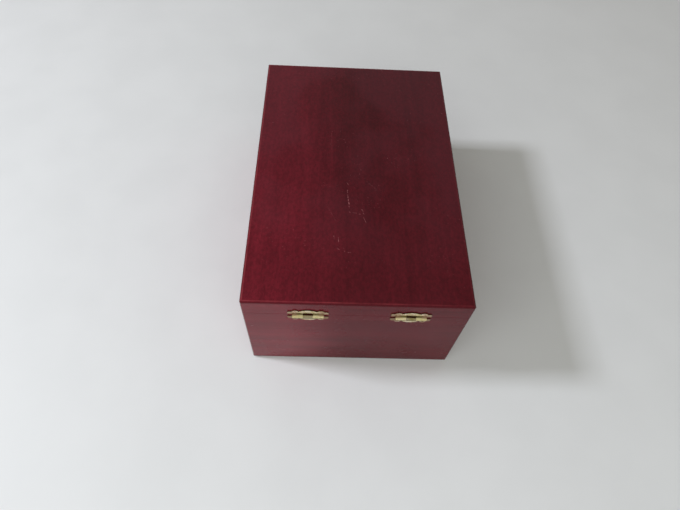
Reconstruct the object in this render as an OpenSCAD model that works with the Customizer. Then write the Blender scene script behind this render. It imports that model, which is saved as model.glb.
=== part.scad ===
// Rectangular keepsake display case: a mitred wooden box with a lift-up lid on two small
// surface hinges, a swing hook at the front, a padded velvet lining and a felt base.
// Millimetres. +Z is up, the front faces -Y, the hinges are at +Y, and the origin is the
// centre of the underside.

/* [Box] */
// Outside width, side to side
box_w = 165; // [130:1:240]
// Outside depth, front to back
box_d = 254; // [170:1:360]
// Height of the lower walls
case_h = 84.2; // [60:0.1:140]
// Height of the closed lid, frame and top together
lid_h = 16.55; // [14.5:0.05:30]
// Thickness of the walls and of the lid frame
wall_t = 9; // [8.5:0.5:13]
// Radius of the outside arrises
edge_r = 1.5; // [0.6:0.1:2]
// Gap between the closed lid and the rim
seam_gap = 0.15; // [0.1:0.05:0.4]
// Chamfer on both outside edges of that gap
seam_chamfer = 0.1; // [0.05:0.05:0.5]
// Chamfer on both inside edges of that gap
rim_chamfer = 0.4; // [0.1:0.1:0.8]

/* [Panels] */
// Thickness of the lid's top panel
top_t = 6; // [4:0.5:7]
// Thickness of the bottom panel
bottom_t = 5; // [3:0.5:8]
// How far the bottom panel is let into each wall
rebate_w = 4.5; // [3:0.5:5]
// Gap all round the bottom panel in its rebate
panel_gap = 0.1; // [0.05:0.05:0.3]

/* [Corner splines] */
// Thickness of the spline across each mitre
spline_t = 1.6; // [1:0.1:2]
// Width of the spline, half of it in each wall
spline_w = 7; // [4:0.5:7.5]
// Gap between a spline and its slot
spline_gap = 0.05; // [0.02:0.01:0.15]
// Wood left above and below the lower splines
case_spline_stop = 6; // [3:0.5:15]
// Wood left above and below the lid's splines
lid_spline_stop = 2; // [1:0.5:2.5]

/* [Base felt] */
// Thickness of the felt sheet under the case
felt_t = 1; // [0.5:0.1:2.5]
// Distance from the wall's outside to the felt
felt_inset = 4; // [2:0.5:10]
// Corner radius of the felt
felt_corner_r = 3; // [1:0.5:8]

/* [Lining] */
// Thickness of a velvet-covered lining board
lining_t = 2; // [1:0.1:3.5]
// Gap between a lining board and what it lies against
lining_gap = 0.2; // [0.1:0.05:0.5]
// Distance from the rim down to the lining's top edge
lining_drop = 1.2; // [0:0.1:4]
// Thickness of the floor pad
floor_pad_t = 5; // [3:0.5:12]
// Thickness of the pad under the lid
lid_pad_t = 4; // [2:0.5:5]
// Gap around each pad
pad_gap = 0.6; // [0.3:0.1:2]
// Corner radius of each pad
pad_corner_r = 2; // [1:0.5:6]

/* [Hinges] */
// Distance from the right side to the middle of its hinge
hinge_right_inset = 47.3; // [30:0.1:55]
// Distance from the left side to the middle of its hinge
hinge_left_inset = 43.7; // [30:0.1:55]
// Thickness of the brass sheet of leaves and latch plates
sheet_t = 0.75; // [0.5:0.05:0.9]
// Width of a leaf
leaf_w = 29.4; // [28:0.1:34]
// Height of a leaf's shoulders above the hinge line
leaf_shoulder = 5; // [4:0.1:6]
// Height of a leaf's middle lobe above the hinge line
leaf_lobe_h = 7.3; // [7:0.1:9]
// Width of a leaf's middle lobe
leaf_lobe_w = 13.8; // [10:0.1:15]
// Gap between the two leaves past the barrel's ends
leaf_gap = 3.2; // [0.6:0.1:4]
// Radius of the hinge pin
pin_r = 0.5; // [0.4:0.05:0.6]
// Running clearance of the pin in the lid's knuckles
pin_run_gap = 0.05; // [0.02:0.01:0.1]
// Clearance of the pin in the case's knuckle, which grips it
pin_grip_gap = 0.01; // [0.01:0.005:0.03]
// Length of the barrel
barrel_l = 22.2; // [18:0.1:26]
// Length of the middle knuckle
middle_knuckle_l = 6.9; // [5:0.1:10]
// Gap between neighbouring knuckles
knuckle_gap = 0.15; // [0.1:0.05:0.4]
// Gap between the barrel and the wood behind it
barrel_gap = 0.15; // [0.1:0.05:0.3]
// Slope at which a leaf's neck rises from the wood to the barrel, in degrees
neck_angle = 45; // [35:1:46]
// How much of a knuckle's curl is left open behind the neck, in degrees
curl_open_angle = 100; // [60:1:120]
// Gap between facing screw heads when the lid lies right back
fold_gap = 0.2; // [0.1:0.05:0.6]
// How far the pin stands out of each end of the barrel
pin_stand = 0.25; // [0.1:0.05:0.6]

/* [Screws] */
// Radius of a screw's domed head
screw_head_r = 1.5; // [1.2:0.05:1.7]
// Height of a screw's domed head
screw_head_h = 0.6; // [0.5:0.05:0.8]
// Radius of a screw's shank
screw_r = 0.75; // [0.5:0.05:0.9]
// Length of a screw under its head
screw_l = 6.5; // [4:0.5:7.5]
// Clearance of a screw's shank in its hole
screw_gap = 0.05; // [0.02:0.01:0.1]
// Width of the driver slot
slot_w = 0.4; // [0.3:0.05:0.6]
// Depth of the driver slot
slot_h = 0.3; // [0.2:0.05:0.4]
// Turn of the driver slot from level, in degrees
slot_turn = 35; // [0:5:90]

/* [Scalloped plates] */
// Distance from a leaf's middle to its screws
leaf_ear_x = 9.2; // [8.6:0.1:10.5]
// Distance from a latch plate's middle to its screws
plate_ear_x = 7.8; // [7:0.1:8.5]
// Height of the screws above the edge line
ear_y = 4.3; // [4.2:0.1:5]
// Radius of the ear around each screw
ear_r = 2.6; // [2.2:0.1:3]
// Radius of the outer corners of leaves and plates
plate_corner_r = 1.4; // [0.6:0.1:1.8]

/* [Latch] */
// Width of a latch plate
plate_w = 23; // [21:0.5:28]
// Height of a latch plate's shoulders above the seam
plate_shoulder = 5.2; // [4.5:0.1:6.5]
// Height of a latch plate's lobe above the seam
plate_lobe_h = 11.4; // [10:0.1:12.5]
// Width of a latch plate's lobe
plate_lobe_w = 10.6; // [9:0.1:12]
// Gap from the seam to each latch plate
plate_gap = 0.9; // [0.5:0.1:2]
// Height of the keeper stud above the seam
keeper_y = 6.6; // [6:0.1:7.5]
// Distance of the hook's pivot below the seam
pivot_y = 7; // [6.5:0.1:8.5]
// Thickness of the washer behind the hook
washer_t = 1.2; // [1:0.1:2]
// Radius of the washer
washer_r = 2.6; // [2.2:0.1:3.2]
// Thickness of the hook
hook_t = 1.2; // [0.8:0.1:2]
// Width of the hook's arm
hook_arm_w = 3.4; // [2.6:0.1:4]
// Radius of the hook's eye
hook_eye_r = 3.2; // [2.8:0.1:3.8]
// Radius of the hook's claw
hook_claw_r = 3.6; // [3.2:0.1:4.2]
// Radius of the finger tab at the hook's tip
hook_tab_r = 1.9; // [1.4:0.1:2.6]
// Distance from the claw's middle to the tab's middle
hook_tab_y = 4.8; // [4:0.1:6]
// Radius of the pivot and keeper shanks
stud_r = 1.2; // [0.9:0.05:1.4]
// Radius of the pivot and keeper heads
stud_head_r = 2.3; // [1.9:0.05:2.8]
// Height of the pivot and keeper heads
stud_head_h = 1.1; // [0.7:0.1:1.5]
// Depth of the pivot and keeper in the wood
stud_depth = 5; // [3:0.5:7]
// Side gap between the hook and its neighbours
hook_gap = 0.1; // [0.05:0.05:0.3]
// Gap between the claw and the keeper's neck
claw_gap = 0.3; // [0.15:0.05:0.5]
// Clearance of the pivot in the hook's eye
pivot_run_gap = 0.05; // [0.02:0.01:0.1]

/* [Hidden] */
$fn = 64;
cut = 1; // how far a cutter runs past the face it cuts
curl_steps = 4; // wedges that together clear the open part of a curl

// Heights
case_z = felt_t;
rim_z = case_z + case_h;
seam_z = rim_z + seam_gap / 2;
lid_z = rim_z + seam_gap;
top_z = lid_z + lid_h;
rail_h = lid_h - top_t;
floor_z = case_z + bottom_t;

// Inside of the walls
inner_w = box_w - 2 * wall_t;
inner_d = box_d - 2 * wall_t;
lining_z = floor_z + panel_gap;
lining_h = rim_z - lining_drop - lining_z;
lining_inset = lining_gap + lining_t;

// Hinge
hinge_xs = [hinge_left_inset - box_w / 2, box_w / 2 - hinge_right_inset];
bore_run_r = pin_r + pin_run_gap;
bore_grip_r = pin_r + pin_grip_gap;
barrel_r = bore_run_r + sheet_t;
axis_out = max(barrel_r + barrel_gap, sheet_t + screw_head_h + fold_gap / 2);
neck_y = slope_foot(barrel_r, sheet_t);
side_knuckle_l = (barrel_l - middle_knuckle_l) / 2 - knuckle_gap;
side_knuckle_x = middle_knuckle_l / 2 + knuckle_gap + side_knuckle_l / 2;

// Latch, measured out from the front face
hook_out = sheet_t + washer_t + hook_gap;
head_out = hook_out + hook_t + hook_gap;
arm_l = keeper_y + pivot_y;
claw_slot_r = stud_r + claw_gap;

lacquer = [0.36, 0.06, 0.09];
bare_wood = [0.66, 0.47, 0.30];
brass = [0.72, 0.60, 0.32];
velvet = [0.07, 0.10, 0.24];
felt = [0.10, 0.11, 0.10];

// Shared shapes

// Filled rectangle with round corners, centred
module round_rect(w, d, r) {
    square([w - 2 * r, d], center = true);
    square([w, d - 2 * r], center = true);
    for (x = [-1, 1], y = [-1, 1])
        translate([x * (w / 2 - r), y * (d / 2 - r)])
            circle(r);
}

// Square corner piece with a quarter round taken out of it, for easing a profile's corner at the origin
module round_over(r) {
    difference() {
        translate([-cut, -cut])
            square(r + cut);
        translate([r, r])
            circle(r);
    }
}

// Plan of the side whose outside face is at -other / 2, mitred at both ends
module mitred_plan(run, other) {
    intersection() {
        polygon([
            [-run / 2, -other / 2],
            [run / 2, -other / 2],
            [run / 2 - wall_t, -other / 2 + wall_t],
            [-run / 2 + wall_t, -other / 2 + wall_t]
        ]);
        round_rect(run, other, edge_r);
    }
}

// One mitred side: its section, children(), is drawn with the outside face at x = 0 and swept along the run
module mitred_side(turn, run, other, z, h) {
    rotate([0, 0, turn])
        intersection() {
            translate([0, 0, z])
                linear_extrude(h)
                    mitred_plan(run, other);
            translate([-run / 2, -other / 2, z])
                rotate([90, 0, 90])
                    linear_extrude(run)
                        children();
        }
}

// The four upright splines of a frame, or the slots that take them
module splines(z, h, gap) {
    for (x = [-1, 1], y = [-1, 1])
        translate([x * (box_w - wall_t) / 2, y * (box_d - wall_t) / 2, z - gap])
            rotate([0, 0, -45 * x * y])
                translate([-spline_w / 2 - gap, -spline_t / 2 - gap, 0])
                    cube([spline_w + 2 * gap, spline_t + 2 * gap, h + 2 * gap]);
}

// Frames on the outside faces: x runs along the face, y is up from the seam and z points out
module on_front() {
    translate([0, -box_d / 2, seam_z])
        rotate([90, 0, 0])
            children();
}

module on_back(x) {
    translate([x, box_d / 2, seam_z])
        rotate([90, 0, 180])
            children();
}

module at_ears(ear_x) {
    for (x = [-ear_x, ear_x])
        translate([x, ear_y, 0])
            children();
}

// Wood

// Square on its corner that takes a chamfer off an edge at the origin
module chamfer_cut(c) {
    rotate([0, 0, 45])
        square(c * sqrt(2), center = true);
}

module case_section() {
    difference() {
        square([wall_t, case_h]);
        round_over(edge_r);
        translate([wall_t - rebate_w, -cut])
            square([rebate_w + cut, bottom_t + panel_gap + cut]);
        translate([0, case_h])
            chamfer_cut(seam_chamfer);
        translate([wall_t, case_h])
            chamfer_cut(rim_chamfer);
    }
}

module lid_section() {
    difference() {
        square([wall_t, rail_h]);
        chamfer_cut(seam_chamfer);
        translate([wall_t, 0])
            chamfer_cut(rim_chamfer);
    }
}

module case_spline_bars(gap) {
    splines(floor_z + case_spline_stop, case_h - bottom_t - 2 * case_spline_stop, gap);
}

module lid_spline_bars(gap) {
    splines(lid_z + lid_spline_stop, rail_h - 2 * lid_spline_stop, gap);
}

module case_side(turn, run, other) {
    difference() {
        mitred_side(turn, run, other, case_z, case_h)
            case_section();
        case_spline_bars(spline_gap);
    }
}

module lid_side(turn, run, other) {
    difference() {
        mitred_side(turn, run, other, lid_z, rail_h)
            lid_section();
        lid_spline_bars(spline_gap);
    }
}

// Pilot hole of a screw whose head seats on a brass sheet
module pilot_hole() {
    translate([0, 0, sheet_t - screw_l - screw_gap])
        cylinder(h = screw_l + cut, r = screw_r + screw_gap);
}

// Blind hole of the pivot or the keeper stud
module stud_hole() {
    translate([0, 0, -stud_depth - hook_gap])
        cylinder(h = stud_depth + hook_gap + cut, r = stud_r + pivot_run_gap);
}

module case_front_wall() {
    color(lacquer)
        difference() {
            case_side(0, box_w, box_d);
            on_front()
                mirror([0, 1, 0]) {
                    at_ears(plate_ear_x)
                        pilot_hole();
                    translate([0, pivot_y, 0])
                        stud_hole();
                }
        }
}

module case_right_wall() {
    color(lacquer)
        case_side(90, box_d, box_w);
}

module case_back_wall() {
    color(lacquer)
        difference() {
            case_side(180, box_w, box_d);
            for (x = hinge_xs)
                on_back(x)
                    mirror([0, 1, 0])
                        at_ears(leaf_ear_x)
                            pilot_hole();
        }
}

module case_left_wall() {
    color(lacquer)
        case_side(270, box_d, box_w);
}

module case_bottom_panel() {
    side = wall_t - rebate_w + panel_gap;
    color(bare_wood)
        translate([side - box_w / 2, side - box_d / 2, case_z])
            cube([box_w - 2 * side, box_d - 2 * side, bottom_t]);
}

module case_corner_splines() {
    color(bare_wood)
        case_spline_bars(0);
}

module base_felt() {
    color(felt)
        linear_extrude(felt_t)
            round_rect(box_w - 2 * felt_inset, box_d - 2 * felt_inset, felt_corner_r);
}

module lid_front_rail() {
    color(lacquer)
        difference() {
            lid_side(0, box_w, box_d);
            on_front() {
                at_ears(plate_ear_x)
                    pilot_hole();
                translate([0, keeper_y, 0])
                    stud_hole();
            }
        }
}

module lid_right_rail() {
    color(lacquer)
        lid_side(90, box_d, box_w);
}

module lid_back_rail() {
    color(lacquer)
        difference() {
            lid_side(180, box_w, box_d);
            for (x = hinge_xs)
                on_back(x)
                    at_ears(leaf_ear_x)
                        pilot_hole();
        }
}

module lid_left_rail() {
    color(lacquer)
        lid_side(270, box_d, box_w);
}

module lid_corner_splines() {
    color(bare_wood)
        lid_spline_bars(0);
}

// Section of the top panel across a run of length l, with both upper arrises eased
module top_section(l) {
    difference() {
        square([l, top_t]);
        for (side = [0, 1])
            translate([side * l, top_t])
                mirror([side, 0])
                    mirror([0, 1])
                        round_over(edge_r);
    }
}

module lid_top_panel() {
    color(lacquer)
        translate([-box_w / 2, -box_d / 2, top_z - top_t])
            intersection() {
                translate([box_w / 2, box_d / 2, 0])
                    linear_extrude(top_t)
                        round_rect(box_w, box_d, edge_r);
                rotate([90, 0, 90])
                    linear_extrude(box_w)
                        top_section(box_d);
                translate([0, box_d, 0])
                    rotate([90, 0, 0])
                        linear_extrude(box_d)
                            top_section(box_w);
            }
}

// Lining

module lining_board(w, d) {
    color(velvet)
        translate([-w / 2, -d / 2, lining_z])
            cube([w, d, lining_h]);
}

module lining_front() {
    translate([0, (lining_t - inner_d) / 2 + lining_gap, 0])
        lining_board(inner_w - 2 * lining_gap, lining_t);
}

module lining_back() {
    translate([0, (inner_d - lining_t) / 2 - lining_gap, 0])
        lining_board(inner_w - 2 * lining_gap, lining_t);
}

module lining_left() {
    translate([(lining_t - inner_w) / 2 + lining_gap, 0, 0])
        lining_board(lining_t, inner_d - 2 * (lining_inset + lining_gap));
}

module lining_right() {
    translate([(inner_w - lining_t) / 2 - lining_gap, 0, 0])
        lining_board(lining_t, inner_d - 2 * (lining_inset + lining_gap));
}

module floor_pad() {
    side = lining_inset + pad_gap;
    color(velvet)
        translate([0, 0, floor_z])
            linear_extrude(floor_pad_t)
                round_rect(inner_w - 2 * side, inner_d - 2 * side, pad_corner_r);
}

module lid_pad() {
    color(velvet)
        translate([0, 0, top_z - top_t - lid_pad_t])
            linear_extrude(lid_pad_t)
                round_rect(inner_w - 2 * pad_gap, inner_d - 2 * pad_gap, pad_corner_r);
}

// Brass plates and screws

// Outline above the seam: shoulders, an ear round each screw and a middle lobe
module scallop(w, base, shoulder, ear_x, lobe_w, lobe_h) {
    rise = lobe_h - shoulder;
    lobe_r = (lobe_w * lobe_w / 4 + rise * rise) / (2 * rise);
    intersection() {
        union() {
            translate([0, shoulder / 2])
                round_rect(w, shoulder, plate_corner_r);
            for (x = [-ear_x, ear_x])
                translate([x, ear_y])
                    circle(ear_r);
            intersection() {
                translate([0, lobe_h - lobe_r])
                    circle(lobe_r);
                translate([-lobe_w / 2, 0])
                    square([lobe_w, lobe_h]);
            }
        }
        translate([-w / 2, base])
            square([w, lobe_h]);
    }
}

// Screw with its head's underside at z = 0
module screw() {
    dome_r = (screw_head_r * screw_head_r + screw_head_h * screw_head_h) / (2 * screw_head_h);
    tip = 2 * screw_r;
    difference() {
        union() {
            intersection() {
                translate([0, 0, screw_head_h - dome_r])
                    sphere(dome_r);
                cylinder(h = screw_head_h, r = screw_head_r);
            }
            translate([0, 0, tip - screw_l])
                cylinder(h = screw_l - tip, r = screw_r);
            translate([0, 0, -screw_l])
                cylinder(h = tip, r1 = screw_r / 4, r2 = screw_r);
        }
        translate([-screw_head_r, -slot_w / 2, screw_head_h - slot_h])
            cube([2 * screw_head_r, slot_w, slot_h + cut]);
    }
}

module screw_pair(ear_x) {
    color(brass)
        at_ears(ear_x)
            translate([0, 0, sheet_t])
                rotate([0, 0, slot_turn])
                    screw();
}

// Hinges

// In a knuckle's section y runs to its leaf, z out from the wood. This is where the neck leaves a circle of
// radius r round the pin
function neck_top(r) = [r * cos(neck_angle), axis_out + r * sin(neck_angle)];

// How far from the hinge line the neck's side at radius r comes down to height z
function slope_foot(r, z) = neck_top(r)[0] + (neck_top(r)[1] - z) * tan(neck_angle);

// Direction across the curl's open part, from its lip at 0 to its neck at 1
function curl_ray(share) =
    let (a = neck_angle + (share - 1) * curl_open_angle)
    [cos(a), sin(a)];

// Rolled knuckle on the hinge line: a neck that slopes up from the leaf at +y, goes round the pin's outside
// and ends behind it
module knuckle(x, l, bore_r) {
    translate([x - l / 2, 0, 0])
        rotate([90, 0, 90])
            linear_extrude(l) {
                translate([0, axis_out])
                    difference() {
                        circle(barrel_r);
                        circle(bore_r);
                        polygon([
                            [0, 0],
                            for (step = [0:curl_steps])
                                2 * barrel_r * curl_ray(step / curl_steps)
                        ]);
                    }
                polygon([
                    neck_top(bore_r),
                    [slope_foot(bore_r, 0), 0],
                    [neck_y + cut, 0],
                    [neck_y + cut, sheet_t],
                    [neck_y, sheet_t],
                    neck_top(barrel_r)
                ]);
            }
}

// Leaf's flat part, with room for the whole barrel
module notched_leaf() {
    difference() {
        linear_extrude(sheet_t)
            scallop(leaf_w, leaf_gap / 2, leaf_shoulder, leaf_ear_x, leaf_lobe_w, leaf_lobe_h);
        translate([-barrel_l / 2 - knuckle_gap, 0, -cut])
            cube([barrel_l + 2 * knuckle_gap, neck_y, sheet_t + 2 * cut]);
    }
}

module screw_holes(ear_x) {
    at_ears(ear_x)
        translate([0, 0, -cut])
            cylinder(h = sheet_t + 2 * cut, r = screw_r + screw_gap);
}

module lid_leaf(x) {
    color(brass)
        on_back(x) {
            difference() {
                union() {
                    notched_leaf();
                    for (side = [-1, 1])
                        knuckle(side * side_knuckle_x, side_knuckle_l, bore_run_r);
                }
                screw_holes(leaf_ear_x);
            }
        }
}

module case_leaf(x) {
    color(brass)
        on_back(x)
            mirror([0, 1, 0]) {
                difference() {
                    union() {
                        notched_leaf();
                        knuckle(0, middle_knuckle_l, bore_grip_r);
                    }
                    screw_holes(leaf_ear_x);
                }
            }
}

module hinge_pin(x) {
    color(brass)
        on_back(x)
            translate([-barrel_l / 2 - pin_stand, 0, axis_out])
                rotate([0, 90, 0])
                    cylinder(h = barrel_l + 2 * pin_stand, r = pin_r);
}

module hinge_case_screws() {
    for (x = hinge_xs)
        on_back(x)
            mirror([0, 1, 0])
                screw_pair(leaf_ear_x);
}

module hinge_lid_screws() {
    for (x = hinge_xs)
        on_back(x)
            screw_pair(leaf_ear_x);
}

// Latch

module latch_plate(stud_y) {
    color(brass)
        difference() {
            linear_extrude(sheet_t)
                scallop(plate_w, plate_gap, plate_shoulder, plate_ear_x, plate_lobe_w, plate_lobe_h);
            screw_holes(plate_ear_x);
            translate([0, stud_y, -cut])
                cylinder(h = sheet_t + 2 * cut, r = stud_r + pivot_run_gap);
        }
}

// Headed stud in the wood, with its domed head beyond the hook
module headed_stud() {
    dome_r = (stud_head_r * stud_head_r + stud_head_h * stud_head_h) / (2 * stud_head_h);
    translate([0, 0, -stud_depth])
        cylinder(h = stud_depth + head_out, r = stud_r);
    translate([0, 0, head_out])
        intersection() {
            translate([0, 0, stud_head_h - dome_r])
                sphere(dome_r);
            cylinder(h = stud_head_h, r = stud_head_r);
        }
}

module latch_keeper_plate() {
    on_front()
        latch_plate(keeper_y);
}

module latch_keeper_plate_screws() {
    on_front()
        screw_pair(plate_ear_x);
}

module latch_keeper_stud() {
    color(brass)
        on_front()
            translate([0, keeper_y, 0])
                headed_stud();
}

module latch_hook_plate() {
    on_front()
        mirror([0, 1, 0])
            latch_plate(pivot_y);
}

module latch_hook_plate_screws() {
    on_front()
        mirror([0, 1, 0])
            screw_pair(plate_ear_x);
}

module latch_washer() {
    color(brass)
        on_front()
            translate([0, -pivot_y, sheet_t])
                linear_extrude(washer_t)
                    difference() {
                        circle(washer_r);
                        circle(stud_r + pivot_run_gap);
                    }
}

module latch_pivot() {
    color(brass)
        on_front()
            translate([0, -pivot_y, 0])
                headed_stud();
}

// Hook hanging from its pivot at the origin, with the claw's slot open to +x
module hook_outline() {
    difference() {
        union() {
            circle(hook_eye_r);
            translate([-hook_arm_w / 2, -arm_l])
                square([hook_arm_w, arm_l]);
            translate([0, -arm_l])
                circle(hook_claw_r);
            translate([-hook_tab_r / 2, -arm_l - hook_tab_y])
                square([hook_tab_r, hook_tab_y]);
            translate([0, -arm_l - hook_tab_y])
                circle(hook_tab_r);
        }
        circle(stud_r + pivot_run_gap);
        translate([0, -arm_l])
            circle(claw_slot_r);
        intersection() {
            difference() {
                circle(arm_l + claw_slot_r);
                circle(arm_l - claw_slot_r);
            }
            translate([0, -arm_l - claw_slot_r])
                square([hook_claw_r + cut, 3 * claw_slot_r]);
        }
    }
}

module latch_hook() {
    color(brass)
        on_front()
            translate([0, -pivot_y, hook_out])
                linear_extrude(hook_t)
                    hook_outline();
}

case_front_wall();
case_back_wall();
case_left_wall();
case_right_wall();
case_bottom_panel();
case_corner_splines();
base_felt();
lining_front();
lining_back();
lining_left();
lining_right();
floor_pad();
lid_top_panel();
lid_front_rail();
lid_back_rail();
lid_left_rail();
lid_right_rail();
lid_corner_splines();
lid_pad();
case_leaf(hinge_xs[0]);  // hinge_left_case_leaf
lid_leaf(hinge_xs[0]);  // hinge_left_lid_leaf
hinge_pin(hinge_xs[0]);  // hinge_left_pin
case_leaf(hinge_xs[1]);  // hinge_right_case_leaf
lid_leaf(hinge_xs[1]);  // hinge_right_lid_leaf
hinge_pin(hinge_xs[1]);  // hinge_right_pin
hinge_case_screws();
hinge_lid_screws();
latch_hook_plate();
latch_hook_plate_screws();
latch_washer();
latch_pivot();
latch_hook();
latch_keeper_plate();
latch_keeper_plate_screws();
latch_keeper_stud();
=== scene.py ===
import math

import bmesh
import bpy
from mathutils import Matrix, Vector, noise


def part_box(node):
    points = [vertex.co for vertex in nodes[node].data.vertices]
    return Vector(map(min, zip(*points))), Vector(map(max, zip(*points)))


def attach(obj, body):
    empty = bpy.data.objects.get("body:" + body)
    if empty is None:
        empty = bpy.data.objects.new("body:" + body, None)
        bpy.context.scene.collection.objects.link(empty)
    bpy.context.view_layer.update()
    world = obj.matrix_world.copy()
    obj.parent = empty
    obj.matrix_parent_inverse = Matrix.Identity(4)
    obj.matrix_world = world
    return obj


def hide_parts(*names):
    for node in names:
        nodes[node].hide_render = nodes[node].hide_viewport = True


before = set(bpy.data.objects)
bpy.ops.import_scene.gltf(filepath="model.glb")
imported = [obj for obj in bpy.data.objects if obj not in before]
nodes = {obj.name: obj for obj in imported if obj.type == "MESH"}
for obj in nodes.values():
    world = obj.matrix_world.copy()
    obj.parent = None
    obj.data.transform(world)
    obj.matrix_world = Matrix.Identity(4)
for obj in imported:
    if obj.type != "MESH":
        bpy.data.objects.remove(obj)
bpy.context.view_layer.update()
print("frame loaded:", len(nodes), "nodes")

mm = 0.001


def boxOf(*names):
    # lowest and highest corner of several nodes together
    corners = [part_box(name) for name in names]
    low = Vector([min(c[0][i] for c in corners) for i in range(3)])
    high = Vector([max(c[1][i] for c in corners) for i in range(3)])
    return low, high


caseLow = boxOf("case_left_wall", "case_right_wall", "case_front_wall", "case_back_wall")[0]
lidHigh = boxOf("lid_top_panel", "lid_left_rail", "lid_right_rail")[1]


def linear(red, green, blue):
    # a colour in the usual 0 to 255, turned into the renderer's linear numbers
    return tuple((c / 255 / 12.92) if c <= 10 else ((c / 255 + 0.055) / 1.055) ** 2.4
                 for c in (red, green, blue))


class Wire:
    # a socket that Python's operators work on; vectors and colours go through Vector Math
    def __init__(self, paint, socket):
        self.paint = paint
        self.socket = socket
        self.wide = socket.type in ("VECTOR", "RGBA")

    def calc(self, operation, *terms):
        wide = any(getattr(t, "wide", isinstance(t, (tuple, Vector))) for t in terms)
        kind = "ShaderNodeVectorMath" if wide else "ShaderNodeMath"
        if wide:
            terms = [t if isinstance(t, (Wire, tuple, Vector)) else (t, t, t) for t in terms]
        return self.paint.node(kind, {"operation": operation}, dict(enumerate(terms)))

    def __add__(self, other):
        return self.calc("ADD", self, other)

    def __radd__(self, other):
        return self.calc("ADD", other, self)

    def __sub__(self, other):
        return self.calc("SUBTRACT", self, other)

    def __rsub__(self, other):
        return self.calc("SUBTRACT", other, self)

    def __mul__(self, other):
        return self.calc("MULTIPLY", self, other)

    def __rmul__(self, other):
        return self.calc("MULTIPLY", other, self)

    def __abs__(self):
        return self.calc("ABSOLUTE", self)

    def larger(self, other):
        return self.calc("MAXIMUM", self, other)

    def smaller(self, other):
        return self.calc("MINIMUM", self, other)

    def between(self, start, end, low=0.0, high=1.0):
        # a smooth step from low to high as the value goes from start to end
        return self.paint.node("ShaderNodeMapRange", {"interpolation_type": "SMOOTHSTEP"}, {
            "Value": self, "From Min": start, "From Max": end, "To Min": low, "To Max": high})

    def axis(self, letter):
        return self.paint.node("ShaderNodeSeparateXYZ", {}, {0: self}, letter.upper())

    def length(self):
        return self.paint.node("ShaderNodeVectorMath", {"operation": "LENGTH"}, {0: self}, "Value")

    def dot(self, other):
        return self.paint.node("ShaderNodeVectorMath", {"operation": "DOT_PRODUCT"},
                               {0: self, 1: other}, "Value")


class Paint:
    # one material, or the sky, and the nodes that are put in it
    def __init__(self, name, target=None):
        self.material = target or bpy.data.materials.new(name)
        self.material.use_nodes = True
        self.tree = self.material.node_tree
        self.tree.nodes.clear()

    def node(self, kind, settings=None, inputs=None, output=0):
        made = self.tree.nodes.new(kind)
        for key, value in (settings or {}).items():
            setattr(made, key, value)
        for key, value in (inputs or {}).items():
            self.feed(made.inputs[key], value)
        return Wire(self, made.outputs[output]) if len(made.outputs) else made

    def feed(self, socket, value):
        if isinstance(value, Wire):
            self.tree.links.new(value.socket, socket)
        elif socket.type == "RGBA" and len(value) == 3:
            socket.default_value = (*value, 1)
        else:
            socket.default_value = value

    def place(self):
        # position in millimetres, in the frame of the model
        return self.node("ShaderNodeTexCoord", output="Object") * (1 / mm)

    def cloud(self, where, size, detail=3.0, rough=0.5, warp=0.0):
        # soft noise from 0 to 1 whose lumps are about this many millimetres
        return self.node("ShaderNodeTexNoise", {"noise_dimensions": "3D"}, {
            "Vector": where, "Scale": 1 / size, "Detail": detail, "Roughness": rough,
            "Distortion": warp})

    def blend(self, first, second, amount):
        # on a Mix node for colours, input 0 is the factor, 6 and 7 are the colours, and the
        # mixed colour is output 2
        return self.node("ShaderNodeMix", {"data_type": "RGBA"},
                         {0: amount, 6: first, 7: second}, 2)

    def bump(self, height, strength, depth):
        return self.node("ShaderNodeBump", {}, {"Height": height, "Strength": strength,
                                               "Distance": depth})

    def surface(self, **sockets):
        shader = self.node("ShaderNodeBsdfPrincipled", {},
                           {key.replace("_", " "): value for key, value in sockets.items()})
        self.node("ShaderNodeOutputMaterial", {}, {"Surface": shader})
        return self.material


def stretched(where, grainAlong, share):
    # the same place, with the grain's own direction shortened so that noise comes out long there
    return where * ((share, 1.0, 1.0) if grainAlong == "x" else (1.0, share, 1.0))


# sizes and places in the looks of materials are in millimetres
scratchLook = dict(
    colour=linear(196, 122, 124), width=0.34, taper=0.35, strength=0.72,
    gaps=dict(size=1.3, detail=3.0, rough=0.8), gapRange=(0.42, 0.60),
    flecks=dict(size=0.8, detail=1.0), fleckRange=(0.74, 0.80), fleckStrength=0.5,
    patches=dict(size=30.0, detail=2.0), patchRange=(0.5, 0.65),
    roughness=0.3, depth=2.0, top=lidHigh.z / mm)


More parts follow.
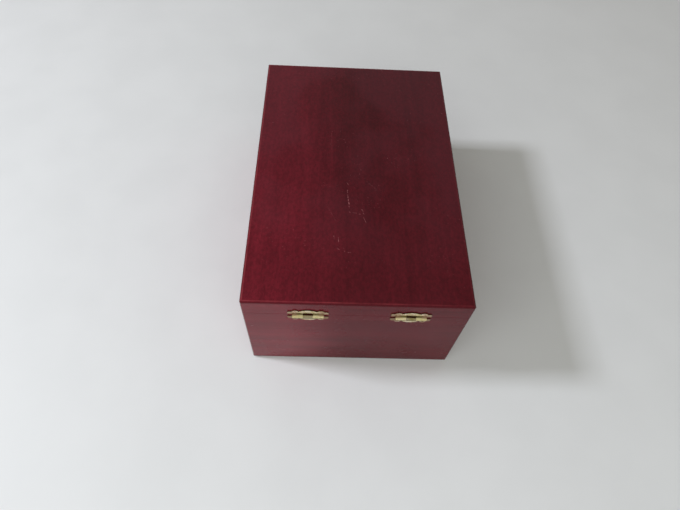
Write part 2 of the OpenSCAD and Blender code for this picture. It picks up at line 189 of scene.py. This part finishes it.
def scratchStrokes():
    # places on the lid's top: start, end and how deep the scratch is
    lines = [
        ((8.0, 17.0), (6.6, 19.5), 0.45), ((7.6, 24.5), (7.3, 31.0), 0.5),
        ((7.3, 31.0), (6.9, 36.0), 1.0), ((6.6, 37.0), (6.3, 39.0), 1.2),
        ((6.5, 40.0), (6.2, 42.5), 0.8), ((6.3, 46.4), (5.6, 47.0), 0.5),
        ((3.2, 47.2), (0.6, 47.6), 0.4), ((-1.2, 48.4), (-2.4, 48.6), 0.8),
        ((-3.6, 44.0), (-4.4, 45.6), 0.8), ((-4.4, 47.0), (-5.2, 48.6), 0.7),
        ((-4.6, 51.0), (-6.6, 56.6), 0.4),
        ((18.0, 69.5), (17.6, 72.5), 0.65), ((14.6, 71.0), (14.3, 75.0), 0.55),
        ((15.3, 80.5), (13.8, 81.8), 0.65), ((10.6, 80.0), (9.6, 84.0), 0.5),
        ((7.8, 83.8), (5.4, 84.2), 0.4), ((21.4, -38.0), (20.6, -18.0), 0.12),
        ((-8.0, 15.0), (-16.0, 24.0), 0.18), ((24.0, 40.0), (17.0, 55.0), 0.16),
    ]
    top = scratchLook["top"]
    return [((*start, top), (*end, top), weight * scratchLook["strength"])
            for start, end, weight in lines]


def distanceToStroke(where, start, end):
    # distance to the straight stroke between two points
    start, end = Vector(start), Vector(end)
    run = end - start
    reach = where - tuple(start)
    share = reach.dot(tuple(run / run.length_squared)).larger(0.0).smaller(1.0)
    along = share.paint.node("ShaderNodeVectorMath", {"operation": "SCALE"},
                             {0: tuple(run), "Scale": share})
    return (reach - along).length()


def scratchMarks(paint, where, strokes):
    look = scratchLook
    edge = look["width"], look["width"] * look["taper"]
    gaps = paint.cloud(where, **look["gaps"]).between(*look["gapRange"])
    marks = None
    for start, end, weight in strokes:
        mark = distanceToStroke(where, start, end).between(*edge) * weight
        marks = mark if marks is None else marks.larger(mark)
    flecks = paint.cloud(where, **look["flecks"]).between(*look["fleckRange"])
    flecks = flecks * look["fleckStrength"]
    patches = paint.cloud(where, **look["patches"]).between(*look["patchRange"])
    return (marks * gaps).larger(flecks * patches)


lacquerLook = dict(
    light=linear(94, 19, 29), dark=linear(76, 12, 21), pore=linear(52, 10, 16),
    figure=dict(size=9.0, detail=4.0, rough=0.55, warp=0.6),
    fibres=dict(size=0.9, detail=5.0, rough=0.65),
    stain=dict(size=60.0, detail=2.0), stainStep=13.0,
    pores=dict(size=0.35, detail=2.0, rough=0.7), poreRange=(0.60, 0.72), poreShare=0.35,
    grainShare=0.06, seedSteps=(31.0, 17.0, 7.0),
    # the top's own share below darkens the whole top: painted shade
    toneShares=(0.45, 0.2, 0.35), toneRange=(0.32, 0.66), topShade=0.76,
    # painted light towards +X, the window side, painted shade towards the front, under a veil of
    # dust and painted reflection haze that thins out at the back
    paintedWindowLight=(1.75, 1.9, 1.9), paintedWindowLightSide=(2.0, 56.0), drift=dict(size=45.0, detail=2.0), driftReach=8.0,
    frontShade=0.8, frontShadeSpan=(-100.0, 60.0),
    mottle=dict(size=1.9, detail=3.0, rough=0.6), mottleStretch=(1.0, 0.6, 1.0),
    mottleRange=(0.34, 0.66), mottleDepth=0.155,
    dustAndReflectionColour=linear(80, 36, 44), dustAndReflection=0.25, dustAndReflectionRange=(0.36, 0.58),
    dustAndReflectionSpan=(105.0, 30.0), dustAndReflectionLeast=0.2,
    # across the rounded arrises: where the flat ends, the painted highlight line with a little rub
    # wear, and the painted shade beside it
    flatEdge=(-1.6, -0.7), rubbedAndHighlit=linear(150, 62, 66), highlightStart=(-2.1, -1.5), highlightEnd=(-0.7, -1.2),
    highlightRubs=dict(size=14.0, detail=3.0, rough=0.6), highlightRubRange=(0.3, 0.65), highlightRubLeast=0.35,
    highlightSpan=(-95.0, 40.0), highlightFar=0.25, wearAndHighlight=0.5,
    edgeShadeStart=(-0.7, -0.1), edgeShadeEnd=(3.0, 1.9), edgeShade=0.6,
    cornerShadeEdge=(-1.6, -0.6), cornerShades=0.5, mitreLine=0.14, mitreShare=0.6,
    hazes=dict(size=26.0, detail=3.0, rough=0.6), hazeRange=(0.3, 0.7), roughness=(0.22, 0.29),
    hairs=dict(size=1.1, detail=2.0, rough=0.8), hairStretch=(3.0, 0.25, 1.0),
    hairRange=(0.68, 0.76), hairRough=0.05, rubbedAndHighlitRough=0.15,
    gloss=1.22, coat=0.24, coatRoughness=0.2,
    peel=dict(size=2.6, detail=2.0),
    heights=dict(peel=0.5, fibres=0.25, pores=0.3, mitre=1.5), relief=0.12, reliefDepth=0.05 * mm)


def lacquer(name, grainAlong, seed, depth=1.0, strokes=()):
    look = lacquerLook
    paint = Paint(name)
    where = paint.place()
    x, y, z = (where.axis(letter) for letter in "xyz")
    seedShift = tuple(seed * step for step in look["seedSteps"])
    grain = stretched(where, grainAlong, look["grainShare"]) + seedShift

    # stained wood under the lacquer
    figure = paint.cloud(grain, **look["figure"])
    fibres = paint.cloud(grain, **look["fibres"])
    stain = paint.cloud(where + (seed * look["stainStep"], 0.0, 0.0), **look["stain"])
    pores = paint.cloud(grain, **look["pores"]).between(*look["poreRange"])
    figureShare, fibreShare, stainShare = look["toneShares"]
    tone = figure * figureShare + fibres * fibreShare + stain * stainShare
    colour = paint.blend(look["dark"], look["light"], tone.between(*look["toneRange"]))
    # painted light: the side towards the window lamp, +X, is made lighter, with a wandering edge
    drift = paint.cloud(where, **look["drift"]) * (2 * look["driftReach"]) - look["driftReach"]
    paintedWindowLight = (x + drift).between(*look["paintedWindowLightSide"])
    colour = paint.blend(colour, colour * look["paintedWindowLight"], paintedWindowLight)

    # height over each outside face, below zero inside, and the way over the nearest level arris
    deepX = abs(x) - lidHigh.x / mm
    deepY = abs(y) - lidHigh.y / mm
    deepZ = (z - lidHigh.z / mm).larger(caseLow.z / mm - z)
    across = deepX.larger(deepY) - deepZ
    onFlat = deepZ.between(*look["flatEdge"])
    # painted shade: flats darken towards the front, and the whole top by its own share
    paintedFlatShade = y.between(*look["frontShadeSpan"], look["frontShade"], 1.0) * depth
    colour = colour * onFlat.between(0.0, 1.0, 1.0, paintedFlatShade)
    mottle = paint.cloud(where * look["mottleStretch"], **look["mottle"])
    mottle = mottle.between(*look["mottleRange"], -look["mottleDepth"], look["mottleDepth"])
    colour = colour * (1.0 + mottle * onFlat)
    colour = paint.blend(colour, look["pore"], pores * look["poreShare"])
    # a greyish veil, partly dust and partly painted reflection haze, thinning towards the back
    dustAndReflection = stain.between(*look["dustAndReflectionRange"]) * onFlat
    dustAndReflection = dustAndReflection * y.between(*look["dustAndReflectionSpan"], look["dustAndReflectionLeast"], 1.0)
    colour = paint.blend(colour, look["dustAndReflectionColour"], dustAndReflection * look["dustAndReflection"])

    # a level arris gets a painted highlight on its inner side, broken up a little like rub wear
    # and fading away from the window side; painted shade lies on its outer side and on the upright
    # corners
    # painted highlight on the arris, broken up a little like rub wear and fading away from +X
    highlightRubs = paint.cloud(where, **look["highlightRubs"]).between(*look["highlightRubRange"], look["highlightRubLeast"], 1.0)
    rubbedAndHighlit = across.between(*look["highlightStart"]) * across.between(*look["highlightEnd"])
    rubbedAndHighlit = rubbedAndHighlit * highlightRubs * x.between(*look["highlightSpan"], look["highlightFar"], 1.0)
    colour = paint.blend(colour, look["rubbedAndHighlit"], rubbedAndHighlit * look["wearAndHighlight"])
    # painted shade on the outer side of a level arris and on the upright corners
    cornerShade = deepX.smaller(deepY).between(*look["cornerShadeEdge"]) * look["cornerShades"]
    edgeShade = across.between(*look["edgeShadeStart"]) * across.between(*look["edgeShadeEnd"])
    edgeShade = (edgeShade * look["edgeShade"]).larger(cornerShade)
    colour = paint.blend(colour, look["dark"], edgeShade)

    # hairline where the mitred ends meet
    mitre = abs(deepX - deepY).between(look["mitreLine"], 0.0)
    colour = paint.blend(colour, look["pore"], mitre * look["mitreShare"])

    # the lacquer's own skin
    heights = look["heights"]
    peel = paint.cloud(where, **look["peel"])
    hazes = paint.cloud(where, **look["hazes"])
    hairs = paint.cloud(where * look["hairStretch"], **look["hairs"]).between(*look["hairRange"])
    rough = hazes.between(*look["hazeRange"], *look["roughness"])
    rough = rough + hairs * look["hairRough"] + rubbedAndHighlit * look["rubbedAndHighlitRough"]
    height = peel * heights["peel"] + fibres * heights["fibres"]
    height = height - pores * heights["pores"] - mitre * heights["mitre"]
    if strokes:
        marks = scratchMarks(paint, where, strokes)
        colour = paint.blend(colour, scratchLook["colour"], marks)
        rough = rough + marks * scratchLook["roughness"]
        height = height - marks * scratchLook["depth"]
    return paint.surface(Base_Color=colour, Roughness=rough, IOR=look["gloss"],
                         Coat_Weight=paintedWindowLight * onFlat.between(0.0, 1.0, look["coat"], 0.0),
                         Coat_Roughness=look["coatRoughness"],
                         Normal=paint.bump(height, look["relief"], look["reliefDepth"]))


bareLook = dict(
    pale=linear(196, 158, 112), deep=linear(150, 108, 68), grainShare=0.05,
    rings=dict(size=7.0, detail=5.0, rough=0.6, warp=1.0),
    fibres=dict(size=0.7, detail=5.0, rough=0.7),
    toneShares=(0.7, 0.3), toneRange=(0.35, 0.65),
    roughRange=(0.2, 0.8), roughness=(0.55, 0.75), relief=0.4, reliefDepth=0.15 * mm)


def bareWood(name, grainAlong):
    look = bareLook
    paint = Paint(name)
    grain = stretched(paint.place(), grainAlong, look["grainShare"])
    rings = paint.cloud(grain, **look["rings"])
    fibres = paint.cloud(grain, **look["fibres"])
    ringShare, fibreShare = look["toneShares"]
    tone = (rings * ringShare + fibres * fibreShare).between(*look["toneRange"])
    return paint.surface(Base_Color=paint.blend(look["pale"], look["deep"], tone),
                         Roughness=fibres.between(*look["roughRange"], *look["roughness"]),
                         Normal=paint.bump(fibres, look["relief"], look["reliefDepth"]))


brassLook = dict(
    bright=linear(246, 230, 200), dull=linear(204, 190, 128), dirtAndShade=linear(56, 44, 26),
    brushed=dict(size=0.25, detail=4.0, rough=0.7), brushShare=0.12,
    clouding=dict(size=3.2, detail=4.0, rough=0.6, warp=0.4), dullRange=(0.38, 0.70),
    specks=dict(size=0.5, detail=2.0), speckRange=(0.64, 0.74), speckShare=0.5,
    roughRange=(0.3, 0.7), roughness=(0.18, 0.34), brushRough=0.08, speckRough=0.2,
    speckMetal=0.3, cloudHeight=0.6, relief=0.10, reliefDepth=0.03 * mm,
    # cut sides that face up, next to the wood, darkened with painted shade
    facingUp=(0.5, 0.9), nearWood=(1.0, 0.7), cutSideShade=0.85,
    # round the barrel, as distance from the pin, and along it, as distance from its middle; the
    # barrel colour is a painted highlight
    barrelEdge=(0.85, 1.0), barrel=linear(230, 216, 146), barrelHighlight=0.55,
    # the grime colour is painted shade with some real grime
    grimeAndShade=linear(106, 92, 42), barrelRim=(1.5, 1.9), shadeReach=(4.1, 2.9), shadeDepth=0.9,
    below=(-0.4, -1.2), shadeBelow=2.2, middleKnuckle=(3.2, 3.6), middleShade=0.6,
    ears=linear(164, 126, 100), earsFrom=(6.6, 9.0), earsDepth=0.62)


def hingeWearAndPaintedLight(paint, where, colour, pins):
    # the outer knuckles get a painted highlight, painted shade with some grime lies along and
    # under the barrel and on the middle knuckle, and the ears get a darker painted reflection
    look = brassLook
    low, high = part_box(pins[0])
    middle = (low + high) / 2 / mm
    fromAxis = where * (0.0, 1.0, 1.0) - (0.0, middle.y, middle.z)
    fromPin = fromAxis.length()
    pinRadius = (high.z - low.z) / 2 / mm
    offBarrel = fromPin.between(*(pinRadius + reach for reach in look["barrelEdge"]))
    middles = [sum(corner.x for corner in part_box(pin)) / 2 / mm for pin in pins]
    x = where.axis("x")
    offMiddle = abs(x - middles[0]).smaller(abs(x - middles[1]))

    inner = fromPin.between(*look["barrelRim"])
    outerKnuckle = offMiddle.between(*look["middleKnuckle"])
    # painted highlight on the outer knuckles' barrel
    rubbedAndHighlit = (1.0 - inner) * outerKnuckle * look["barrelHighlight"]
    colour = paint.blend(colour, look["barrel"], rubbedAndHighlit)
    # painted shade, with some grime, on the leaves along and under the barrel and on the middle
    # knuckle
    below = fromAxis.axis("z").between(*look["below"])
    grimeAndShade = (fromPin - below * look["shadeBelow"]).between(*look["shadeReach"])
    grimeAndShade = grimeAndShade * inner.larger(below) * offBarrel * look["shadeDepth"]
    grimeAndShade = grimeAndShade.larger((1.0 - inner) * (1.0 - outerKnuckle) * look["middleShade"])
    colour = paint.blend(colour, look["grimeAndShade"], grimeAndShade)
    # the ears get a darker pinkish tone: painted reflection of their surroundings
    ears = offMiddle.between(*look["earsFrom"]) * offBarrel
    return paint.blend(colour, look["ears"], ears * look["earsDepth"])


def brass(name, pins=()):
    look = brassLook
    paint = Paint(name)
    where = paint.place()
    brushed = paint.cloud(stretched(where, "x", look["brushShare"]), **look["brushed"])
    clouding = paint.cloud(where, **look["clouding"])
    specks = paint.cloud(where, **look["specks"]).between(*look["speckRange"])
    colour = paint.blend(look["bright"], look["dull"], clouding.between(*look["dullRange"]))
    colour = paint.blend(colour, look["dirtAndShade"], specks * look["speckShare"])

    # the sheet's cut sides that face up are darkened close to the wood: painted shade
    upward = paint.node("ShaderNodeTexCoord", output="Normal").axis("z")
    offWood = abs(where.axis("y")) - lidHigh.y / mm
    shadedCutSide = upward.between(*look["facingUp"]) * offWood.between(*look["nearWood"])
    colour = paint.blend(colour, look["dirtAndShade"], shadedCutSide * look["cutSideShade"])
    if pins:
        colour = hingeWearAndPaintedLight(paint, where, colour, pins)
    rough = clouding.between(*look["roughRange"], *look["roughness"])
    rough = rough + brushed * look["brushRough"] + specks * look["speckRough"]
    metal = 1.0 - specks * look["speckMetal"]
    height = brushed + clouding * look["cloudHeight"]
    return paint.surface(Base_Color=colour, Roughness=rough, Metallic=metal,
                         Normal=paint.bump(height, look["relief"], look["reliefDepth"]))


velvetLook = dict(
    deep=linear(14, 20, 48), lit=linear(34, 44, 88), sheen=linear(120, 132, 190),
    pile=dict(size=0.22, detail=3.0, rough=0.8),
    brushed=dict(size=22.0, detail=4.0, rough=0.55, warp=0.8), brushShare=0.35,
    crushed=dict(size=5.0, detail=4.0, rough=0.65),
    toneShares=(0.35, 0.45, 0.2), toneRange=(0.34, 0.66),
    roughness=0.9, specular=0.15, sheenWeight=0.9, sheenRoughness=0.35,
    crushHeight=0.6, relief=0.6, reliefDepth=0.25 * mm)


def velvet(name):
    look = velvetLook
    paint = Paint(name)
    where = paint.place()
    pile = paint.cloud(where, **look["pile"])
    brushed = paint.cloud(stretched(where, "y", look["brushShare"]), **look["brushed"])
    crushed = paint.cloud(where, **look["crushed"])
    pileShare, brushedShare, crushedShare = look["toneShares"]
    tone = pile * pileShare + brushed * brushedShare + crushed * crushedShare
    colour = paint.blend(look["deep"], look["lit"], tone.between(*look["toneRange"]))
    height = pile + crushed * look["crushHeight"]
    return paint.surface(
        Base_Color=colour, Roughness=look["roughness"], Specular_IOR_Level=look["specular"],
        Sheen_Weight=look["sheenWeight"], Sheen_Roughness=look["sheenRoughness"],
        Sheen_Tint=look["sheen"], Normal=paint.bump(height, look["relief"], look["reliefDepth"]))


# the felt's finish, then its shape
feltLook = dict(
    dark=linear(28, 32, 30), pale=linear(56, 60, 56),
    fluff=dict(size=0.35, detail=5.0, rough=0.8, warp=1.5), lumps=dict(size=9.0, detail=3.0),
    toneShares=(0.6, 0.4), toneRange=(0.35, 0.65),
    roughness=0.95, specular=0.1, sheenWeight=0.4, sheenRoughness=0.6,
    relief=0.8, reliefDepth=0.3 * mm,
    steps=3 * mm, corner=3 * mm, rings=2, fuzz=0.12 * mm, fuzzSize=3 * mm)


def felt(name):
    look = feltLook
    paint = Paint(name)
    where = paint.place()
    fluff = paint.cloud(where, **look["fluff"])
    lumps = paint.cloud(where, **look["lumps"])
    fluffShare, lumpShare = look["toneShares"]
    tone = (fluff * fluffShare + lumps * lumpShare).between(*look["toneRange"])
    return paint.surface(
        Base_Color=paint.blend(look["dark"], look["pale"], tone), Roughness=look["roughness"],
        Specular_IOR_Level=look["specular"], Sheen_Weight=look["sheenWeight"],
        Sheen_Roughness=look["sheenRoughness"],
        Normal=paint.bump(fluff, look["relief"], look["reliefDepth"]))


def finish(piece, material):
    piece.data.materials.clear()
    piece.data.materials.append(material)


print("finishes")
woodAcross = lacquer("lacquerAcross", "x", 1.0)
woodAlong = lacquer("lacquerAlong", "y", 2.0)
woodTop = lacquer("lacquerTop", "y", 3.0, lacquerLook["topShade"], scratchStrokes())
woodBare = bareWood("bareWood", "y")
brassFlat = brass("brass")
brassHinge = brass("brassHinge", ("hinge_left_pin", "hinge_right_pin"))
velvetPile = velvet("velvet")
feltPile = felt("felt")

finishOf = {
    "case_front_wall": woodAcross, "case_back_wall": woodAcross,
    "lid_front_rail": woodAcross, "lid_back_rail": woodAcross,
    "case_left_wall": woodAlong, "case_right_wall": woodAlong,
    "lid_left_rail": woodAlong, "lid_right_rail": woodAlong,
    "lid_top_panel": woodTop, "case_bottom_panel": woodBare,
    "case_corner_splines": woodBare, "lid_corner_splines": woodBare,
}
for name, node in nodes.items():
    finish(node, finishOf.get(name, brassHinge if name.startswith("hinge_") else brassFlat))

edgeLook = dict(width=0.2 * mm, sharpest=math.radians(35), segments=3, weld=0.001 * mm)


def softenEdges(node):
    weld = node.modifiers.new("weld", "WELD")
    weld.merge_threshold = edgeLook["weld"]
    bevel = node.modifiers.new("softEdge", "BEVEL")
    bevel.width = edgeLook["width"]
    bevel.segments = edgeLook["segments"]
    bevel.limit_method = "ANGLE"
    bevel.angle_limit = edgeLook["sharpest"]
    bevel.harden_normals = True


for name, node in nodes.items():
    if name.startswith(("hinge_", "latch_")):
        softenEdges(node)
print("metal edges")


def newPiece(name, mesh, material, standsFor):
    piece = bpy.data.objects.new(name, mesh)
    bpy.context.scene.collection.objects.link(piece)
    finish(piece, material)
    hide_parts(*standsFor)
    return piece


def smoothShaded(mesh):
    mesh.polygons.foreach_set("use_smooth", [True] * len(mesh.polygons))


def roundedSlab(low, high, corner, steps, rings):
    # closed slab of facets about one step wide, with round corners in plan
    size = high - low
    middle = (low + high) / 2
    columns = [round(size[i] / steps) for i in range(2)]
    layers = [low.z + size.z * ring / rings for ring in range(rings + 1)]
    mesh = bmesh.new()

    def planPlace(i, j):
        u = i / columns[0] * 2 - 1
        v = j / columns[1] * 2 - 1
        x, y = u * size.x / 2, v * size.y / 2
        overX = abs(x) - (size.x / 2 - corner)
        overY = abs(y) - (size.y / 2 - corner)
        if overX > 0 and overY > 0:
            span = math.hypot(overX, overY)
            reach = max(overX, overY)
            x = math.copysign(size.x / 2 - corner + overX / span * reach, x)
            y = math.copysign(size.y / 2 - corner + overY / span * reach, y)
        return x + middle.x, y + middle.y

    grid = {}
    for i in range(columns[0] + 1):
        for j in range(columns[1] + 1):
            edge = i in (0, columns[0]) or j in (0, columns[1])
            x, y = planPlace(i, j)
            for k, z in enumerate(layers):
                if edge or k in (0, rings):
                    grid[i, j, k] = mesh.verts.new((x, y, z))
    for i in range(columns[0]):
        for j in range(columns[1]):
            mesh.faces.new([grid[i, j, 0], grid[i, j + 1, 0], grid[i + 1, j + 1, 0],
                            grid[i + 1, j, 0]])
            mesh.faces.new([grid[i, j, rings], grid[i + 1, j, rings],
                            grid[i + 1, j + 1, rings], grid[i, j + 1, rings]])
    for k in range(rings):
        for i in range(columns[0]):
            for j, turn in ((0, 1), (columns[1], -1)):
                loop = [grid[i, j, k], grid[i + 1, j, k], grid[i + 1, j, k + 1], grid[i, j, k + 1]]
                mesh.faces.new(loop[::turn])
        for j in range(columns[1]):
            for i, turn in ((0, -1), (columns[0], 1)):
                loop = [grid[i, j, k], grid[i, j + 1, k], grid[i, j + 1, k + 1], grid[i, j, k + 1]]
                mesh.faces.new(loop[::turn])
    data = bpy.data.meshes.new("slab")
    mesh.normal_update()
    mesh.to_mesh(data)
    mesh.free()
    smoothShaded(data)
    return data


padLook = dict(
    steps=3.2 * mm, corner=3 * mm, rings=3, fill=0.7,
    below=0.5 * mm, snug=0.3 * mm, press=0.5 * mm, cap=1.4 * mm,
    # the velvet as cloth
    frames=20, quality=6, mass=0.15, stretch=12, bending=0.4, pressure=4.0, shrink=-0.02,
    glueReach=0.01 * mm)


def applyModifiers(piece):
    bpy.context.view_layer.update()
    graph = bpy.context.evaluated_depsgraph_get()
    flat = bpy.data.meshes.new_from_object(piece.evaluated_get(graph))
    piece.modifiers.clear()
    old = piece.data
    piece.data = flat
    bpy.data.meshes.remove(old)


def inflate(piece, backSide):
    # swells the slab like a cushion whose back is glued flat to a board
    start = [v.co.copy() for v in piece.data.vertices]
    backing = (min if backSide == "low" else max)(co.z for co in start)
    glued = piece.vertex_groups.new(name="glued")
    glued.add([i for i, co in enumerate(start) if abs(co.z - backing) < padLook["glueReach"]],
              1.0, "REPLACE")
    cloth = piece.modifiers.new("cloth", "CLOTH")
    cloth.settings.quality = padLook["quality"]
    cloth.settings.mass = padLook["mass"]
    cloth.settings.tension_stiffness = padLook["stretch"]
    cloth.settings.compression_stiffness = padLook["stretch"]
    cloth.settings.bending_stiffness = padLook["bending"]
    cloth.settings.use_pressure = True
    cloth.settings.uniform_pressure_force = padLook["pressure"]
    cloth.settings.shrink_min = padLook["shrink"]
    cloth.settings.vertex_group_mass = "glued"
    cloth.settings.effector_weights.gravity = 0.0
    cloth.collision_settings.use_collision = False
    cloth.point_cache.frame_start = 1
    cloth.point_cache.frame_end = padLook["frames"]
    scene = bpy.context.scene
    for step in range(1, padLook["frames"] + 1):
        scene.frame_set(step)
    applyModifiers(piece)
    scene.frame_set(1)
    for vertex, rest in zip(piece.data.vertices, start):
        push = vertex.co - rest
        if push.length > padLook["cap"]:
            vertex.co = rest + push * (padLook["cap"] / push.length)


def pad(name, node, body, backSide):
    # the slab starts a little low for the velvet to swell, and lies flat against what is round it
    low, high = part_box(node)
    press = Vector((padLook["press"], padLook["press"], 0))
    walls = low - press, high + press
    room, snug = padLook["below"], padLook["snug"]
    low += Vector((-snug, -snug, room if backSide == "high" else 0))
    high -= Vector((-snug, -snug, room if backSide == "low" else 0))
    mesh = roundedSlab(low, high, padLook["corner"], padLook["steps"], padLook["rings"])
    piece = newPiece(name, mesh, velvetPile, [node])
    inflate(piece, backSide)
    smooth = piece.modifiers.new("smooth", "SUBSURF")
    smooth.levels = smooth.render_levels = 1
    applyModifiers(piece)
    for vertex in piece.data.vertices:
        for i in range(2):
            vertex.co[i] = min(max(vertex.co[i], walls[0][i]), walls[1][i])
    smoothShaded(piece.data)
    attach(piece, body)


boardLook = dict(steps=4 * mm, round=0.7 * mm, segments=3, profile=0.5,
                 ripple=0.12 * mm, lump=14 * mm, hollow=0.35)


def liningBoard(name, node):
    # velvet drawn over a card: rounded edges, and a surface that isn't quite flat
    low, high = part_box(node)
    size = high - low
    mesh = bmesh.new()
    bmesh.ops.create_cube(mesh, size=1.0)
    for vertex in mesh.verts:
        vertex.co = (low + high) / 2 + vertex.co * size
    bmesh.ops.bevel(mesh, geom=mesh.edges[:], offset=boardLook["round"], affect="EDGES",
                    segments=boardLook["segments"], profile=boardLook["profile"])
    for i in range(3):
        if size[i] < 3 * boardLook["steps"]:
            continue    # the board's thickness needs no cuts
        across = Vector([float(i == k) for k in range(3)])
        for cut in range(1, round(size[i] / boardLook["steps"])):
            spot = low.copy()
            spot[i] += cut * boardLook["steps"]
            if spot[i] < high[i] - boardLook["round"]:
                bmesh.ops.bisect_plane(mesh, geom=mesh.verts[:] + mesh.edges[:] + mesh.faces[:],
                                       plane_co=spot, plane_no=across)
    mesh.normal_update()
    for vertex in mesh.verts:
        lump = noise.noise(vertex.co / boardLook["lump"]) - boardLook["hollow"]
        vertex.co += vertex.normal * min(0.0, lump) * boardLook["ripple"]
    data = bpy.data.meshes.new(name)
    mesh.to_mesh(data)
    mesh.free()
    smoothShaded(data)
    piece = newPiece(name, data, velvetPile, [node])
    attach(piece, "case")


def baseFelt():
    low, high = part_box("base_felt")
    data = roundedSlab(low, high, feltLook["corner"], feltLook["steps"], feltLook["rings"])
    for vertex in data.vertices:
        fuzz = noise.noise(vertex.co / feltLook["fuzzSize"]) * feltLook["fuzz"]
        if low.z < vertex.co.z < high.z:
            vertex.co += Vector((vertex.co.x, vertex.co.y, 0)).normalized() * fuzz
        elif vertex.co.z == low.z:
            vertex.co.z += max(0.0, fuzz)
    piece = newPiece("baseFelt", data, feltPile, ["base_felt"])
    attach(piece, "case")


pad("floorPad", "floor_pad", "case", "low")
pad("lidPad", "lid_pad", "lid", "high")
print("pads")
for side in ("front", "back", "left", "right"):
    liningBoard("lining" + side.capitalize(), "lining_" + side)
baseFelt()
print("lining and felt")

skyLook = dict(
    farSide=(0.15, 0.15, 0.146), nearSide=(0.25, 0.245, 0.238), turn=(-0.5, 0.8),
    lowGlow=(0.20, 0.18, 0.13), lowReach=(0.9, 0.45), backdrop=linear(204, 204, 203))


def makeSky():
    # pale above the hinged side and dim above the front
    world = bpy.data.worlds.new("sky")
    bpy.context.scene.world = world
    paint = Paint("sky", world)
    direction = paint.node("ShaderNodeTexCoord", output="Generated")
    side = direction.axis("y").between(*skyLook["turn"])
    colour = paint.blend(skyLook["farSide"], skyLook["nearSide"], side)
    colour = colour + direction.axis("z").between(*skyLook["lowReach"]) * skyLook["lowGlow"]
    camera, mirror, through = [
        paint.node("ShaderNodeLightPath", output=name)
        for name in ("Is Camera Ray", "Is Glossy Ray", "Is Transmission Ray")]
    seen = (camera + mirror + through).smaller(1.0)
    colour = paint.blend(colour, skyLook["backdrop"], seen)
    light = paint.node("ShaderNodeBackground", {}, {"Color": colour, "Strength": 1.0})
    paint.node("ShaderNodeOutputWorld", {}, {"Surface": light})


floorLook = dict(
    size=7.0, drop=-0.02 * mm, colour=linear(222, 222, 221), dim=0.97,
    mottle=dict(size=60.0, detail=4.0), mottleRange=(0.3, 0.7), roughness=(0.5, 0.6),
    specular=0.3, grains=dict(size=0.8, detail=2.0), relief=0.05, reliefDepth=0.05 * mm,
    fade=(700.0, 1700.0))


def floorPaint():
    look = floorLook
    paint = Paint("floor")
    where = paint.place()
    mottle = paint.cloud(where, **look["mottle"])
    grains = paint.cloud(where, **look["grains"])
    base = Vector(look["colour"])
    colour = paint.blend(tuple(base * look["dim"]), tuple(base),
                         mottle.between(*look["mottleRange"]))
    near = paint.node("ShaderNodeBsdfPrincipled", {}, {
        "Base Color": colour,
        "Roughness": mottle.between(*look["mottleRange"], *look["roughness"]),
        "Specular IOR Level": look["specular"],
        "Normal": paint.bump(grains, look["relief"], look["reliefDepth"])})

    # far from the part the floor goes over into the backdrop
    seen = paint.node("ShaderNodeLightPath", output="Is Camera Ray")
    fade = (where * (1.0, 1.0, 0.0)).length().between(*look["fade"]) * seen
    far = paint.node("ShaderNodeEmission", {}, {"Color": skyLook["backdrop"], "Strength": 1.0})
    mixed = paint.node("ShaderNodeMixShader", {}, {0: fade, 1: near, 2: far})
    paint.node("ShaderNodeOutputMaterial", {}, {"Surface": mixed})
    return paint.material


def makeFloor():
    # a hair under the felt, so that the two don't share a plane
    bpy.ops.mesh.primitive_plane_add(size=floorLook["size"], location=(0, 0, floorLook["drop"]))
    floor = bpy.context.active_object
    floor.name = "floor"
    finish(floor, floorPaint())


lampLook = dict(
    window=dict(place=(1.45, -0.054, 1.32), aim=(0.0, 0.0, 0.05), size=(0.26, 0.26),
                power=23.0, colour=(0.873, 0.91, 1.0), mirrored=True),
    panel=dict(place=(0.25, 0.85, 0.76), aim=(0.0, 0.0, 0.05), size=(1.6, 1.1),
               power=7.7, colour=(0.927, 0.983, 1.0), mirrored=False))


def makeLamp(name, place, aim, size, power, colour, mirrored):
    lamp = bpy.data.lights.new(name, "AREA")
    lamp.shape = "RECTANGLE"
    lamp.size, lamp.size_y = size
    lamp.energy = power
    lamp.color = colour
    holder = bpy.data.objects.new(name, lamp)
    bpy.context.scene.collection.objects.link(holder)
    holder.location = place
    holder.rotation_mode = "QUATERNION"
    holder.rotation_quaternion = (Vector(aim) - Vector(place)).to_track_quat("-Z", "Y")
    holder.visible_camera = False
    holder.visible_glossy = mirrored


cameraLook = dict(
    place=(25.98 * mm, 285.38 * mm, 415.30 * mm), facing=(-0.03436, -0.53567, -0.84373),
    roll=math.radians(4.708), focal=507.01, imageWidth=680.0, sensor=36.0, clip=(0.01, 30.0))


def makeCamera():
    # focal is in pixels of an image this wide
    lens = bpy.data.cameras.new("camera")
    lens.sensor_width = cameraLook["sensor"]
    lens.lens = cameraLook["focal"] / cameraLook["imageWidth"] * cameraLook["sensor"]
    lens.clip_start, lens.clip_end = cameraLook["clip"]
    holder = bpy.data.objects.new("camera", lens)
    bpy.context.scene.collection.objects.link(holder)
    facing = Vector(cameraLook["facing"]).normalized()
    level = facing.cross(Vector((0, 0, 1))).normalized()
    above = level.cross(facing)
    right = level * math.cos(cameraLook["roll"]) + above * math.sin(cameraLook["roll"])
    up = right.cross(facing)
    turn = Matrix((right, up, -facing)).transposed()
    holder.matrix_world = Matrix.Translation(cameraLook["place"]) @ turn.to_4x4()
    bpy.context.scene.camera = holder


makeFloor()
makeSky()
for name, settings in lampLook.items():
    makeLamp(name, **settings)
makeCamera()
bpy.context.scene.view_settings.view_transform = "Standard"
print("floor, light and camera")
